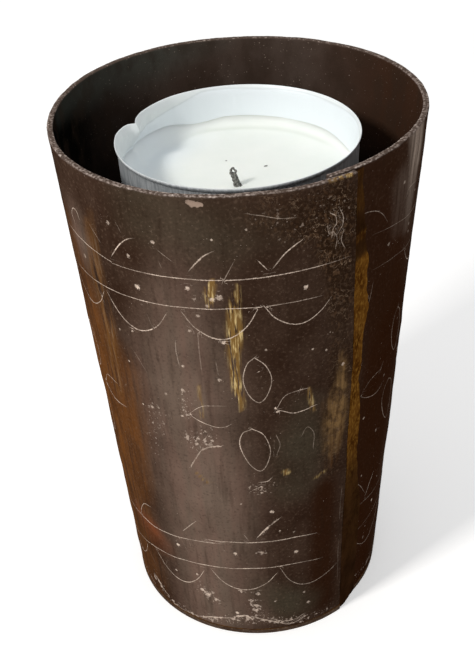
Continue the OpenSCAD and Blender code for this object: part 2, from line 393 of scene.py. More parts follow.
def wear_marks(strokes):
    """The knocks and scrapes of the front, and loose ones all round."""
    for direction, height, width in KNOCKS:
        strokes.pit(direction, height, width, strokes.random.uniform(0.5, 0.9))
    for width, pale, points in SCRAPES:
        strokes.cut(points, width, pale, False)
    for _ in range(90):
        place = (strokes.random.uniform(-46, 190), strokes.random.uniform(4, 91))
        strokes.pit(*place, strokes.random.uniform(0.15, 0.35), strokes.random.uniform(0.2, 0.7))
    for _ in range(40):
        place = (strokes.random.uniform(-46, 300), strokes.random.uniform(6, 88))
        reach = strokes.random.uniform(1, 4)
        tip = (place[0] + reach * strokes.random.uniform(-1.5, 1.5), place[1] + reach)
        strokes.cut([place, tip], 0.07, strokes.random.uniform(0.15, 0.35))


def ornament():
    """Every scratch on the cup. Five flowers stand between the two bands."""
    strokes = Strokes(7)
    upper_band(strokes)
    sprouts(strokes)
    flower(strokes, -89, 54)
    flower(strokes, -163, 49.5, 0.9)
    flower(strokes, -22, 50, 0.45)
    flower(strokes, 52, 52, 0.8)
    flower(strokes, 124, 51, 0.8)
    lower_band(strokes)
    wear_marks(strokes)
    return strokes


# Meshes


def add_piece(name, points, faces, material, body, replaces=(), sharp=40, marks=None):
    """A piece from points in millimetres, with smooth faces that turn outwards."""
    mesh = bpy.data.meshes.new(name)
    mesh.from_pydata([tuple(p) for p in np.asarray(points) * MM], [], faces)
    return dress_piece(name, mesh, material, body, replaces, sharp, marks)


def dress_piece(name, mesh, material, body, replaces=(), sharp=40, marks=None):
    """Turns a closed mesh in metres into a named piece that rides on a body."""
    shape = bmesh.new()
    shape.from_mesh(mesh)
    if shape.calc_volume(signed=True) < 0:
        bmesh.ops.reverse_faces(shape, faces=shape.faces)
    shape.to_mesh(mesh)
    shape.free()
    mesh.shade_smooth()
    mesh.set_sharp_from_angle(angle=math.radians(sharp))
    for mark, values in (marks or {}).items():
        mesh.attributes.new(mark, "FLOAT", "POINT").data.foreach_set(
            "value", np.asarray(values, np.float32))
    mesh.materials.append(material)
    piece = bpy.data.objects.new(name, mesh)
    bpy.context.scene.collection.objects.link(piece)
    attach(piece, body)
    if replaces:
        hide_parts(*replaces)
    return piece


def band_faces(columns, rows, close_columns, close_rows):
    """Quads of a grid whose points run row by row within each column."""
    faces = []
    for c in range(columns if close_columns else columns - 1):
        for r in range(rows if close_rows else rows - 1):
            a = c * rows + r
            b = c * rows + (r + 1) % rows
            other = (c + 1) % columns * rows
            faces.append((a, b, other + (r + 1) % rows, other + r))
    return faces


# The cup's wall

WALL_COLUMNS = 330
ROW_STEP = 0.56
RIM_ZONE = 91.6


def wall_section():
    """(height, inset) points once round the sheet's edge-on outline, from the foot up."""
    shoulder = CUP_HEIGHT - RIM_BEVEL
    count = round((shoulder - WALL_FOOT) / ROW_STEP)
    outside = [(WALL_FOOT + (shoulder - WALL_FOOT) * i / count, 0.0) for i in range(count + 1)]
    crown = [(CUP_HEIGHT - 0.06, 0.06), (CUP_HEIGHT, 0.2), (CUP_HEIGHT, 0.45),
             (CUP_HEIGHT, SHEET - 0.2), (CUP_HEIGHT - 0.06, SHEET - 0.06)]
    inside = [(h, SHEET) for h in [shoulder, 92.3, 91.8, 91.2, 90.4, 89.2, 88, 86.5, 85, 83.5,
                                   82, 80.5, 79, 77.5, 76, 74, 72, 66, 56, 42, 28, 14]]
    return outside + crown + inside + [(WALL_FOOT, SHEET), (WALL_FOOT, SHEET / 2)]


def refine(blank, strokes, tree):
    """Splits the blank's faces near the scratches and at the rim, and again at the knocks."""
    for line_reach, knock_reach, rim in [(0.65, 1.15, RIM_ZONE), (0, 0.8, CUP_HEIGHT + 1)]:
        chosen = set()
        for face in blank.faces:
            turn, height, inset = face.calc_center_median()
            if len(face.verts) > 8:
                continue
            near = False
            if inset < 0.01:
                _, index, distance = tree.find(blank_place(turn, height))
                is_knock = strokes.samples[index][2:4] == (0, 0)
                near = distance < (knock_reach if is_knock else line_reach)
            if near or height > rim:
                chosen.update(face.edges)
        bmesh.ops.subdivide_edges(blank, edges=list(chosen), cuts=1, use_grid_fill=True)


def blank_place(turn, height):
    """Where a spot of the blank lies on the flat ornament."""
    direction = float(sheet_direction(np.float64(turn), np.float64(height)))
    return (*flat(direction, height), 0)


def scratch_marks(strokes, tree, direction, height, outside):
    """Each point's signed distance from the nearest scratch, and that one's width and light."""
    away = np.full(len(direction), 9.0)
    wide = np.full(len(direction), 0.1)
    pale = np.zeros(len(direction))
    for i in np.flatnonzero(outside):
        u, v = flat(direction[i], height[i])
        _, index, distance = tree.find((u, v, 0))
        if distance < 1.2:
            u0, v0, side_u, side_v, width, light = strokes.samples[index]
            side = (u - u0) * side_u + (v - v0) * side_v
            ahead = max(0, math.sqrt(max(0, distance ** 2 - side ** 2)) - 0.03)
            away[i] = math.copysign(math.hypot(side, ahead), side or 1)
            wide[i] = width
            pale[i] = light * (1 - smooth_step(distance, 0.3 + width, 0.5 + width))
    return away, wide, pale


def near_path(direction, height, path, soft):
    """Strength round a path of (direction, height, half width, strength) points."""
    u = np.radians(direction) * FLAT_RADIUS
    best = np.zeros(len(u))
    for (d0, h0, w0, s0), (d1, h1, w1, s1) in zip(path, path[1:]):
        a = np.array(flat(unrolled(d0), h0))
        b = np.array(flat(unrolled(d1), h1))
        share = ((u - a[0]) * (b - a)[0] + (height - a[1]) * (b - a)[1]) / ((b - a) @ (b - a))
        share = np.clip(share, 0, 1)
        off = np.hypot(u - a[0] - share * (b - a)[0], height - a[1] - share * (b - a)[1])
        width = w0 + (w1 - w0) * share
        fade = 1 - smooth_step(off, width * (1 - soft), width * (1 + soft))
        best = np.maximum(best, fade * (s0 + (s1 - s0) * share))
    return best


# Where each stain lies on the outside (or inside, for the inner ones), and where the painted
# reflection, highlight and lit band lie: its softness, then paths of points as (direction, height,
# half width, strength)
STAINS = {
    "brass": (0.4, [
        [(-92.9, 79, 0.2, 0.5), (-93.6, 77, 0.45, 0.6), (-94.6, 74.5, 0.9, 0.8),
         (-94.6, 70, 1.15, 1),
         (-95.4, 66.5, 0.85, 1), (-95.4, 62.5, 0.7, 1), (-95, 60, 0.75, 1),
         (-94.3, 57.5, 0.6, 1), (-93.8, 55.4, 0.3, 1)],
        [(-63, 93, 0.25, 0.5), (-54.5, 93, 0.3, 0.9)],
        [(-100.3, 79.6, 0.35, 0.9), (-101.3, 77.5, 0.7, 0.9), (-101.8, 75.2, 0.4, 0.9)],
        [(-107.5, 60, 0.2, 0.5), (-107.7, 53.6, 0.25, 0.6)],
        [(-112.1, 40.6, 0.2, 0.6), (-108.2, 38.7, 0.3, 0.6)],
        [(-79.5, 41, 0.45, 0.8), (-78.8, 40.6, 0.4, 0.8)],
        [(-70.7, 57.4, 0.35, 0.6), (-69.9, 55.4, 0.45, 0.6), (-68.7, 52.7, 0.35, 0.6)],
        [(-62.2, 38.6, 0.2, 0.6), (-68.6, 37.4, 0.2, 0.5)],
        [(10, 60, 0.3, 1), (11, 48, 0.9, 1), (10, 40, 0.3, 1)],
        [(95, 66, 0.4, 1), (94, 58, 0.7, 1)],
        [(160, 44, 0.3, 1), (161, 33, 0.8, 1), (160, 26, 0.3, 1)]]),
    "amber": (0.6, [
        [(-142, 84, 1.2, 0.45), (-143, 76, 1.7, 0.8), (-142, 66, 1.5, 1), (-145, 52, 1, 0.7)],
        [(-139, 86, 1.2, 0.2), (-139, 81, 1.1, 0.35)],
        [(-62, 53, 1.4, 0.5), (-58.5, 46, 2, 0.7), (-60, 40, 1.2, 0.5)],
        [(110, 80, 6, 0.4), (106, 40, 5, 0.4)]]),
    "warm": (0.7, [
        [(-158, 80, 3, 0.3), (-156, 64, 6, 0.8), (-160, 40, 8, 0.95), (-158, 20, 7, 0.7),
         (-158, 0, 7, 0.6)],
        [(-141, 58, 5, 0.6), (-143, 42, 4.5, 0.8), (-144, 30, 3.5, 0.6)],
        [(-146, 24, 3.5, 0.5), (-146, 14, 2.5, 0.35), (-148, 6, 2, 0.3)]]),
    "red": (0.7, [
        [(-150, 21, 2.5, 0.5), (-141, 19.5, 3, 1), (-134, 18, 2.5, 0.6)]]),
    # painted reflection: a pale grey-brown band down the front left, where a bright floor would be
    # mirrored, and fainter bands elsewhere
    "painted_reflection": (0.8, [
        [(-109.5, 92, 3, 0.15), (-108, 84, 3.5, 0.3), (-110, 76, 5, 0.6),
         (-113, 62, 7, 0.9), (-112, 50, 7, 0.9), (-110, 36, 8, 1), (-111, 20, 7.5, 0.9),
         (-112, 6, 7.2, 1)],
        [(-92, 12, 3, 0.4), (-92, 6, 3, 0.5)],
        [(-150, 84, 2.4, 0.3), (-149.5, 80, 2.4, 0.7), (-150, 76, 1.5, 0.3)],
        [(60, 80, 6, 0.4), (66, 20, 6, 0.6)]]),
    # painted highlight along the right silhouette under the rim
    "painted_highlight": (0.7, [
        [(-22, 92.6, 2.2, 1), (-21.5, 87, 1.8, 1), (-22.5, 83, 1.5, 0.45), (-24, 77, 1.2, 0.15)],
        [(-30, 86, 2.5, 0.15), (-30, 79, 2, 0.1)]]),
    "olive": (0.6, [
        [(-57, 62, 0.6, 0.5), (-57, 57, 1.2, 0.9), (-57.8, 54, 1.8, 1), (-58.8, 49, 2.1, 1),
         (-59.5, 43, 1.6, 0.7)]]),
    "dull": (0.8, [
        [(-118, 90, 5, 0.7), (-98, 87, 4.5, 0.6), (-80, 87, 3, 0.3)],
        [(-71, 54, 3, 0.5), (-72, 46, 4.5, 1), (-76, 38, 4, 0.7)],
        [(-90, 12, 3, 0.5), (-78, 8, 4, 1), (-70, 7, 3, 0.7)]]),
    # olive-grey band inside under the back-left rim: partly the inside's own olive tone, partly
    # painted light, the lit strip above the painted shade
    "inner_olive_lit": (0.9, [
        [(95, 93, 2, 0.3), (120, 92, 4, 1), (150, 91.5, 3, 0.8), (175, 92, 1.5, 0.5)]]),
    "ruddy": (0.6, [
        [(-44, 93, 6, 0.6), (-38, 80, 6, 0.8), (-30, 60, 8, 1), (-36, 30, 8, 1), (-38, 4, 8, 1)],
        [(-63, 34, 2.5, 0.9), (-62, 6, 3, 0.9)],
        [(0, 70, 8, 0.8), (4, 10, 8, 0.8)]]),
    "rough": (0.5, [
        [(-84, 90, 3, 0.4), (-70, 88, 4, 0.8), (-60, 88, 4.5, 1), (-60, 83, 4, 1),
         (-58.5, 77, 2.6, 0.85), (-57.5, 66, 2, 0.5), (-57.5, 56, 2.4, 0.55),
         (-59, 46, 3, 0.45), (-60, 38, 2, 0.3)]]),
    "worn": (0.7, [
        [(-111, 48, 2.3, 1), (-107, 49, 2, 1)],
        [(-113, 53, 1.2, 0.8), (-113, 57, 1.2, 0.8)],
        [(-116, 10.5, 1.6, 1), (-111, 8.5, 1.2, 1)],
        [(-93.6, 9, 1.4, 1), (-92.5, 6, 1.2, 1)],
        [(-128, 44, 2, 0.5), (-125, 52, 2.4, 0.6)],
        [(-101, 76.5, 1, 0.7), (-105, 76.5, 1, 0.7)],
        [(-90, 22, 1, 0.8), (-87, 22, 1, 0.5)],
        [(-90, 88, 3, 0.25), (-62, 87, 4.5, 0.45)],
        [(-91, 38, 1.6, 0.7), (-86, 38, 1.6, 0.7)],
        [(-147, 4.5, 1.2, 1), (-140, 3, 1.1, 1), (-134, 1.6, 1, 1), (-120, 1.5, 1, 0.9),
         (-104, 3.6, 1.4, 1), (-90, 4, 1.2, 1), (-72, 2.2, 1.2, 1), (-56, 2, 1, 0.6)],
        [(-40, 3, 1.2, 0.7), (120, 3, 1.2, 0.7), (-150, 3, 1.2, 0.7)]]),
}


CHIP = [(-105.6, 92.1, 0.35, 1), (-103.8, 91.8, 0.5, 1), (-102.2, 91.7, 0.35, 1)]


def wall_marks(turn, height, inset, scratches):
    """The shader's masks at each point of the wall."""
    direction = sheet_direction(turn, height)
    outside = inset < SHEET / 2
    marks = dict(zip(["away", "wide", "pale"], scratches))
    for name, (soft, paths) in STAINS.items():
        strength = np.zeros(len(turn))
        for path in paths:
            strength = np.maximum(strength, near_path(direction, height, path, soft))
        marks[name] = strength * (outside != name.startswith("inner"))
    corners = [-60, -20, 20, 60, 120, 150, 180, 205, 235, 260, 290, 307]
    outer = np.interp(direction, corners, [0.5, 0.45, 0.5, 0.6, 0.6, 0.35, 0.5, 0.55, 0.6, 0.7,
                                           0.5, 0.4])
    inner = np.interp(direction, corners, [0.7, 0.65, 0.4, 0.2, 0.2, 0.1, 0.45, 0.5, 0.6, 0.8,
                                           0.7, 0.6])
    bare = outer + (inner - outer) * smooth_step(inset, 0.3, 0.7)
    bare = bare * (1 - 0.55 * np.exp(-((inset - 0.45) / 0.16) ** 2))
    marks["rim"] = bare
    marks["top"] = smooth_step(height, CUP_HEIGHT - 0.22, CUP_HEIGHT - 0.06)
    marks["chip"] = outside * near_path(direction, height, CHIP, 0.8)
    marks["inside"] = 1.0 * (inset > SHEET * 0.7) * (height < CUP_HEIGHT - 0.1)
    # painted shade inside: near black on the inner left wall, which the rim shades, and below 70
    # to 80 mm all round, in the deep gap round the tea light
    left = smooth_step(direction, 115, 165) * (1 - smooth_step(direction, 225, 262))
    deep = 1 - smooth_step(height, 70, 80)
    marks["painted_shade"] = marks["inside"] * np.maximum(left, deep)
    marks["red_inside"] = marks["inside"] * (1 - smooth_step(direction, 25, 70))
    return marks


def roughness_of_sheet(direction, height):
    """Where the sheet is crusted from overheating, left of the seam's free edge."""
    soft, paths = STAINS["rough"]
    return near_path(direction, height, paths[0], soft)


def cup_wall(strokes, material):
    """The rolled sheet: a closed flat blank, refined where it is scratched, then bent."""
    section = wall_section()
    rows = len(section)
    turns = np.linspace(0, SHEET_TURN, WALL_COLUMNS + 1)
    blank_points = [(t, h, i) for t in turns for h, i in section]
    faces = band_faces(len(turns), rows, False, True)
    faces.append(tuple(range(rows)))
    faces.append(tuple(range(len(blank_points) - 1, len(blank_points) - 1 - rows, -1)))
    mesh = bpy.data.meshes.new("cup_wall_rolled")
    mesh.from_pydata(blank_points, [], faces)
    tree = strokes.tree()
    blank = bmesh.new()
    blank.from_mesh(mesh)
    refine(blank, strokes, tree)
    blank.to_mesh(mesh)
    blank.free()
    flat_points = np.zeros(len(mesh.vertices) * 3)
    mesh.vertices.foreach_get("co", flat_points)
    turn, height, inset = flat_points.reshape(-1, 3).T
    direction = sheet_direction(turn, height)
    scratches = scratch_marks(strokes, tree, direction, height, inset < 0.01)
    points = bent_sheet(turn, height, inset, scratches)
    mesh.vertices.foreach_set("co", (points * MM).ravel())
    marks = wall_marks(turn, height, inset, scratches)
    return dress_piece("cup_wall_rolled", mesh, material, "holder", ["cup_wall"],
                       sharp=50, marks=marks)


def bent_sheet(turn, height, inset, scratches):
    """Final points of the wall in millimetres."""
    away, wide, pale = scratches
    direction = sheet_direction(turn, height)
    outside = inset < 0.01
    x, y = spiral(turn, height, 0)
    place = np.stack([x, y, height], axis=-1)
    rough = roughness_of_sheet(direction, height)
    hammered = 0.10 * grain(place, 9, 1) + 0.035 * grain(place, 3.5, 2)
    skin = 0.012 * grain(place, 0.9, 3) + 0.05 * rough * grain(place, 1.3, 4)
    skin = skin + 0.05 * rough * np.abs(grain(place, 0.6, 5)) + 0.03 * grain(place, 2.2, 11)
    groove = 0.28 * wide * pale * np.exp(-(away / (wide + 0.1)) ** 2)
    inset = inset + hammered + np.where(outside, groove + skin, 0.2 * skin)
    chip = near_path(direction, height, CHIP, 0.5)
    inset = inset + np.where(outside, 0.25 * chip, 0)
    near_rim = smooth_step(height, CUP_HEIGHT - 1.2, CUP_HEIGHT)
    nicks = 0.05 * grain(place, 2.2, 6) + 0.05 * np.abs(grain(place, 0.8, 7))
    waves = 0.06 * grain(place, 14, 8)
    height = height - near_rim * (0.02 + np.clip(nicks + waves, -0.02, 0.25))
    inset = inset + np.where(outside, near_rim * 0.05 * grain(place, 0.7, 9), 0)
    share = smooth_step(turn, SHEET_TURN - 25, SHEET_TURN)
    burr = 0.12 * grain(place, 3, 10) * smooth_step(turn, SHEET_TURN - 1.5, SHEET_TURN)
    turn = turn + share * edge_wander(height) + burr
    return hand_shaped(*spiral(turn, height, inset), height)


# The brass in the seam


def seam_braze(material):
    """The brass in the lap and the sloping run of it beside the free edge."""
    heights = np.arange(0.06, CUP_HEIGHT - 0.25, 0.5)
    slope_steps = 16
    points = []
    wet = []
    for height in heights:
        edge = LAP_ANGLE + edge_wander(height)
        run = np.interp(height, [0, 24, 33, 38, 45, 52, 58, 63, 66, 72, 77, 80, 89, 93],
                        [13, 13, 9, 7.8, 8.3, 6.8, 7.2, 7.6, 9, 9.9, 9.2, 7, 4.5, 4])
        low = [(0.3 + (edge + run - 0.3) * i / 8, -0.01, 0) for i in range(9)]
        top = []
        for i in range(slope_steps + 1):
            share = 1 - i / slope_steps
            lift = 1.04 * (1 - share) ** (1.1 + 0.4 * smooth_step(height, 20, 40)) + 0.03
            top.append((edge + 0.02 + run * share, lift, 1))
        lap = [(edge - 0.1, BRAZE_GAP - 0.01, 0), (edge / 2, BRAZE_GAP - 0.01, 0),
               (0.3, BRAZE_GAP - 0.01, 0)]
        for turn, lift, open_side in low + top + lap:
            points.append((turn, height, lift))
            wet.append(open_side)
    turn, height, lift = np.array(points).T
    wet = np.array(wet)
    place = np.stack([turn * 0.49, 0 * turn, height], axis=-1)
    lumps = 0.30 * grain(place, 4, 21) + 0.16 * grain(place, 1.2, 22)
    lift = lift * (1 + wet * np.clip(lumps, -0.5, 0.15)) * np.where(wet, 0.98, 1)
    turn = turn + wet * (1 - lift) * 0.35 * grain(place, 3, 23) * smooth_step(lift, 0.9, 0.1)
    shaped = hand_shaped(*spiral(turn, height, -lift), height)
    rows = len(low) + len(top) + len(lap)
    faces = band_faces(len(heights), rows, False, True)
    faces.append(tuple(range(rows)))
    faces.append(tuple(range(len(points) - 1, len(points) - 1 - rows, -1)))
    bare = np.interp(height, [0, 10, 14, 26, 33, 40, 48, 60, 77.5, 78.3, 80.5, 81, 82, 82.5,
                              85.5, 86.5, 89.5, 90.5, CUP_HEIGHT],
                     [0, 0, 0.05, 0.08, 0.2, 0.8, 0.95, 1, 1, 0.1, 0.05, 0.4, 0.4, 0.05,
                      0.08, 0.22, 0.22, 0.1, 0.25])
    return add_piece("seam_braze_run", shaped, faces, material, "holder",
                     ["seam_braze"], sharp=60, marks={"lift": lift, "bare": wet * bare})


# The shelf

SHELF_COLUMNS = 180


def shelf(material):
    """A shallow inverted pan with a bent rim, wedged in the cup's taper."""
    flange = SHEET + SEAT
    bend_foot = SHELF_TOP - SHELF_BEND
    section = []
    for share in [0.0, 0.25, 0.5, 0.75, 0.9, 1.0]:
        section.append((share, flange + SHELF_BEND, SHELF_TOP))
    for i in range(1, 6):
        a = math.radians(90 * i / 5)
        section.append((1, flange + SHELF_BEND * (1 - math.sin(a)),
                        bend_foot + SHELF_BEND * math.cos(a)))
    section.append((1, flange, SHELF_FOOT))
    section.append((1, flange + SHELF_SHEET, SHELF_FOOT))
    inner_bend = SHELF_BEND - SHELF_SHEET
    for i in range(5, 0, -1):
        a = math.radians(90 * i / 5)
        section.append((1, flange + SHELF_BEND - inner_bend * math.sin(a),
                        bend_foot + inner_bend * math.cos(a)))
    for share in [1.0, 0.9, 0.75, 0.5, 0.25, 0.0]:
        section.append((share, flange + SHELF_BEND, SHELF_TOP - SHELF_SHEET))
    turns = np.linspace(0, 360, SHELF_COLUMNS, endpoint=False)
    share, inset, height = (np.tile(v, len(turns)) for v in np.array(section).T)
    turn = np.repeat(turns, len(section))
    step = 2 * ROLL_SHIFT * smooth_step(turn, 350, 360)
    x, y = spiral(turn, height, inset + step)
    dent = 0.12 * grain(np.stack([x * share, y * share, 0 * x], axis=-1), 7, 31)
    shaped = hand_shaped(x, y, height) * np.stack([share, share, 0 * share + 1], axis=-1)
    on_plate = share < 0.95
    shaped[:, 2] += np.where(on_plate, -np.abs(dent), 0)
    faces = band_faces(len(turns), len(section), True, False)
    return add_piece("shelf_pan", shaped, faces, material, "holder", ["shelf"])


# The tea light

TEA_COLUMNS = 480
LIP_OVAL = 0.44
LIP_OVAL_DIRECTION = math.radians(51.3)
LIP_FORWARD = 0.2
# How far the lip falls for each millimetre to +X and to +Y
LEAN_X = 0.014
LEAN_Y = 0.035
# The rolled lip as (outwards from the side, above the lip's top)
LIP_SECTION = [(0, -1.6), (0, -1.1), (0.01, -0.85), (0.04, -0.68), (0.22, -0.6),
               (0.33, -0.42), (0.37, -0.2), (0.32, 0), (0.22, 0), (0.14, -0.1), (0.04, -0.35),
               (-0.07, -0.65), (-0.15, -0.95), (-0.2, -1.3)]


def tea_rise(height):
    """0 at the tea light's foot and 1 at its lip."""
    return np.clip((height - SHELF_TOP) / (TEA_LIP - SHELF_TOP), 0, 1)


def lip_push(direction, height):
    """How far the fold in the lip pushes the side in, less and less below it."""
    push = np.interp(direction, [125, 135, 149.6, 157, 163.5, 165.2, 168, 172.5, 178],
                     [0, 0.25, 0.66, 1.15, 1.92, 0.94, 0.55, 0.21, 0])
    return push * smooth_step(height, TEA_LIP - 6, TEA_LIP - 0.8)


def tea_side(direction, height):
    """Outer radius of the tea light's side: drawn with a taper, now oval and dented."""
    angle = np.radians(direction)
    rise = tea_rise(height)
    oval = LIP_OVAL * np.cos(2 * (angle - LIP_OVAL_DIRECTION)) - LIP_FORWARD * np.sin(angle)
    round_side = TEA_RADIUS - CURL - SIDE_TAPER * (1 - rise)
    return round_side + rise * oval - lip_push(direction, height)


def foil_creases(direction, height):
    """How far pleats, waves and the crumpled part push the side in."""
    angle = np.radians(direction)
    x = 19 * np.cos(angle)
    y = 19 * np.sin(angle)
    tall = np.stack([x, y, height * 0.22], axis=-1)
    free = np.stack([x, y, height], axis=-1)
    body = smooth_step(TEA_LIP - height, 0.7, 2.2)
    pleats = 0.05 * grain(tall, 0.9, 41) + 0.05 * grain(tall, 2.6, 42)
    waves = 0.06 * grain(tall, 6, 44)
    window = smooth_step(direction, 128, 142) * (1 - smooth_step(direction, 168, 180))
    window = window * smooth_step(height, TEA_LIP - 7, TEA_LIP - 2)
    window = window * smooth_step(TEA_LIP - height, 0.5, 1.2)
    lumps = 0.22 * grain(free, 1.9, 43) + 0.22 * np.abs(grain(free, 1.5, 45))
    return pleats * (0.12 + 0.88 * body) + waves, window * lumps


def leaning(points):
    """The tea light's points as it stands: a little higher on its left and at its front."""
    points = np.array(points, float)
    points[:, 2] -= tea_rise(points[:, 2]) * (LEAN_X * points[:, 0] + LEAN_Y * points[:, 1])
    return points


def ring_points(section, directions, smooth):
    """Points of the foil from its (share, outwards, height) rows, creased less where smooth."""
    share, out, height = (np.tile(v, len(directions)) for v in np.array(section).T)
    direction = np.repeat(directions, len(section))
    side = share > 0.9
    creases, lumps = foil_creases(direction, height)
    radius = tea_side(direction, height) - side * (creases * np.where(smooth, 0.3, 1) + lumps)
    angle = np.radians(direction)
    radius = share * radius + out
    return np.stack([radius * np.cos(angle), radius * np.sin(angle), height], axis=-1)


def tealight_foil(material):
    """The drawn aluminium cup with its rolled lip, fine pleats and the fold in its lip."""
    section = [(0, 0, SHELF_TOP + 0.5), (0.5, 0, SHELF_TOP + 0.5), (1, -3.2, SHELF_TOP + 0.5),
               (1, -2.8, SHELF_TOP + 0.03), (1, -1, SHELF_TOP)]
    for i in range(1, 7):
        a = math.radians(90 * i / 6)
        section.append((1, math.sin(a) - 1, SHELF_TOP + 1 - math.cos(a)))
    for height in np.arange(SHELF_TOP + 1.5, TEA_LIP - 1.8, 0.35):
        section.append((1, 0, height))
    outer_rows = len(section) + 6
    section += [(1, out, TEA_LIP + up) for out, up in LIP_SECTION]
    for height in np.arange(TEA_LIP - 1.6, WAX_TOP - 1.2, -0.3):
        section.append((1, -FOIL, height))
    section += [(1, -FOIL, WAX_TOP - 4), (1, -FOIL, SHELF_TOP + 1.5), (1, -1, SHELF_TOP + FOIL),
                (1, -3, SHELF_TOP + FOIL + 0.5), (0, 0, SHELF_TOP + FOIL + 0.5)]
    directions = np.linspace(0, 360, TEA_COLUMNS, endpoint=False)
    inner = np.tile(np.arange(len(section)) > outer_rows, len(directions))
    points = ring_points(section, directions, inner)
    direction = np.repeat(directions, len(section))
    height = points[:, 2]
    film_edge = TEA_LIP + np.interp(direction, [0, 108, 122, 150, 172, 240, 270, 360],
                                    [-0.5, -0.5, -1.6, -3, -4.2, -4, -0.6, -0.5])
    film_edge = film_edge + 0.12 * np.sin(np.radians(8 * direction))
    film = inner * (1 - smooth_step(height, film_edge - 0.25, film_edge + 0.25))
    faces = band_faces(TEA_COLUMNS, len(section), True, False)
    return add_piece("tealight_foil", leaning(points), faces, material, "tealight",
                     ["tealight_cup"], sharp=70, marks={"film": film, "inner": 1.0 * inner})


def wax_climb(direction):
    """How far the wax's thin edge climbs the foil: it reaches higher at the back and left."""
    back = smooth_step(direction, 15, 45) * (1 - smooth_step(direction, 95, 118))
    left = smooth_step(direction, 100, 135) * (1 - smooth_step(direction, 215, 250))
    return 0.6 + 1.15 * back + 2.2 * left + 0.1 * np.sin(np.radians(5 * direction))


def wax_cake(material):
    """Wax with a low rim where it set against the foil, and its soft ripples, with painted shade
    along that rim and a painted blue shade on its left.
    """
    directions = np.linspace(0, 360, 240, endpoint=False)
    shares = [0.0, 0.08, 0.16, 0.24, 0.32, 0.4, 0.48, 0.56, 0.64, 0.72, 0.78, 0.82, 0.845, 0.865,
              0.885, 0.9, 0.915, 0.93, 0.945, 0.958, 0.97, 0.98, 0.988, 0.995, 1.0]
    points = []
    ledge_shade = []
    blue_shade = []
    for direction in directions:
        angle = math.radians(direction)
        climb = float(wax_climb(direction))
        top = np.array([WAX_TOP + climb])
        edge = float(tea_side(direction, top)[0]) - FOIL + 0.02
        creases, lumps = foil_creases(np.array([direction]), top)
        flat_share = 0.95 - 0.04 * climb
        for share in shares:
            radius = edge * share - float(0.3 * creases[0] + lumps[0]) * share ** 12
            rise = climb * max(0, (share - flat_share) / (1 - flat_share)) ** 2.4
            points.append((radius * math.cos(angle), radius * math.sin(angle), WAX_TOP + rise))
            # painted shade: two soft grey lines at the back, at the foot of the wax's low rim and
            # up its rise
            arcs = (math.exp(-((share - flat_share - 0.035) / 0.025) ** 2)
                    + 0.6 * smooth_step(rise / climb, 0.3, 0.9))
            back = smooth_step(direction, 18, 40) * (1 - smooth_step(direction, 105, 130))
            ledge_shade.append(arcs * back)
            # painted shade: the left of the wax tinted blue-grey, where the foil's side shades it
            left = smooth_step(direction, 95, 150) * (1 - smooth_step(direction, 215, 265))
            blue_shade.append(left * smooth_step(share, 0.45, 0.85))
        for height in [WAX_TOP - 2, WAX_FOOT + 2]:
            wall = float(tea_side(direction, np.array([height]))[0]) - FOIL - 0.2
            points.append((wall * math.cos(angle), wall * math.sin(angle), height))
        points.append((0, 0, WAX_FOOT + 0.5))
        ledge_shade += [0, 0, 0]
        blue_shade += [0, 0, 0]
    points = np.array(points)
    off_axis = np.hypot(points[:, 0], points[:, 1])
    on_top = points[:, 2] > WAX_TOP - 1
    pool = np.hypot(points[:, 0] - WICK_PLACE.x, points[:, 1] - WICK_PLACE.y)
    ripple = 0.04 * grain(points, 5, 51) + 0.10 * grain(points, 14, 52)
    ripple = ripple + 0.25 * np.exp(-(pool / 1.3) ** 2) - 0.06 * np.exp(-((pool - 4) / 3) ** 2)
    points[:, 2] += np.where(on_top, ripple * (1 - smooth_step(off_axis, 15.5, 17.3)), 0)
    faces = band_faces(len(directions), len(shares) + 3, True, False)
    return add_piece("wax_cake", leaning(points), faces, material, "tealight", ["wax"],
                     sharp=80, marks={"ledge_shade": ledge_shade, "blue_shade": blue_shade})


def tube(path, radii, sides=10):
    """Points and faces of a closed tube along a path, with a radius at each point."""
    path = [Vector(p) for p in path]
    points = []
    side_way = Vector((1, 0.2, 0))
    for i, centre in enumerate(path):
        ahead = (path[min(i + 1, len(path) - 1)] - path[max(i - 1, 0)]).normalized()
        across = (side_way - ahead * side_way.dot(ahead)).normalized()
        side_way = across
        up = ahead.cross(across)
        for k in range(sides):
            a = 2 * math.pi * k / sides
            points.append(centre + (across * math.cos(a) + up * math.sin(a)) * radii[i])
    faces = band_faces(len(path), sides, False, True)
    faces.append(tuple(range(sides)))
    faces.append(tuple(range(len(points) - 1, len(points) - 1 - sides, -1)))
    return [tuple(p) for p in points], faces


def joined(parts):
    """Several (points, faces) as one."""
    points = []
    faces = []
    for part_points, part_faces in parts:
        base = len(points)
        points += part_points
        faces += [tuple(base + i for i in face) for face in part_faces]
    return points, faces


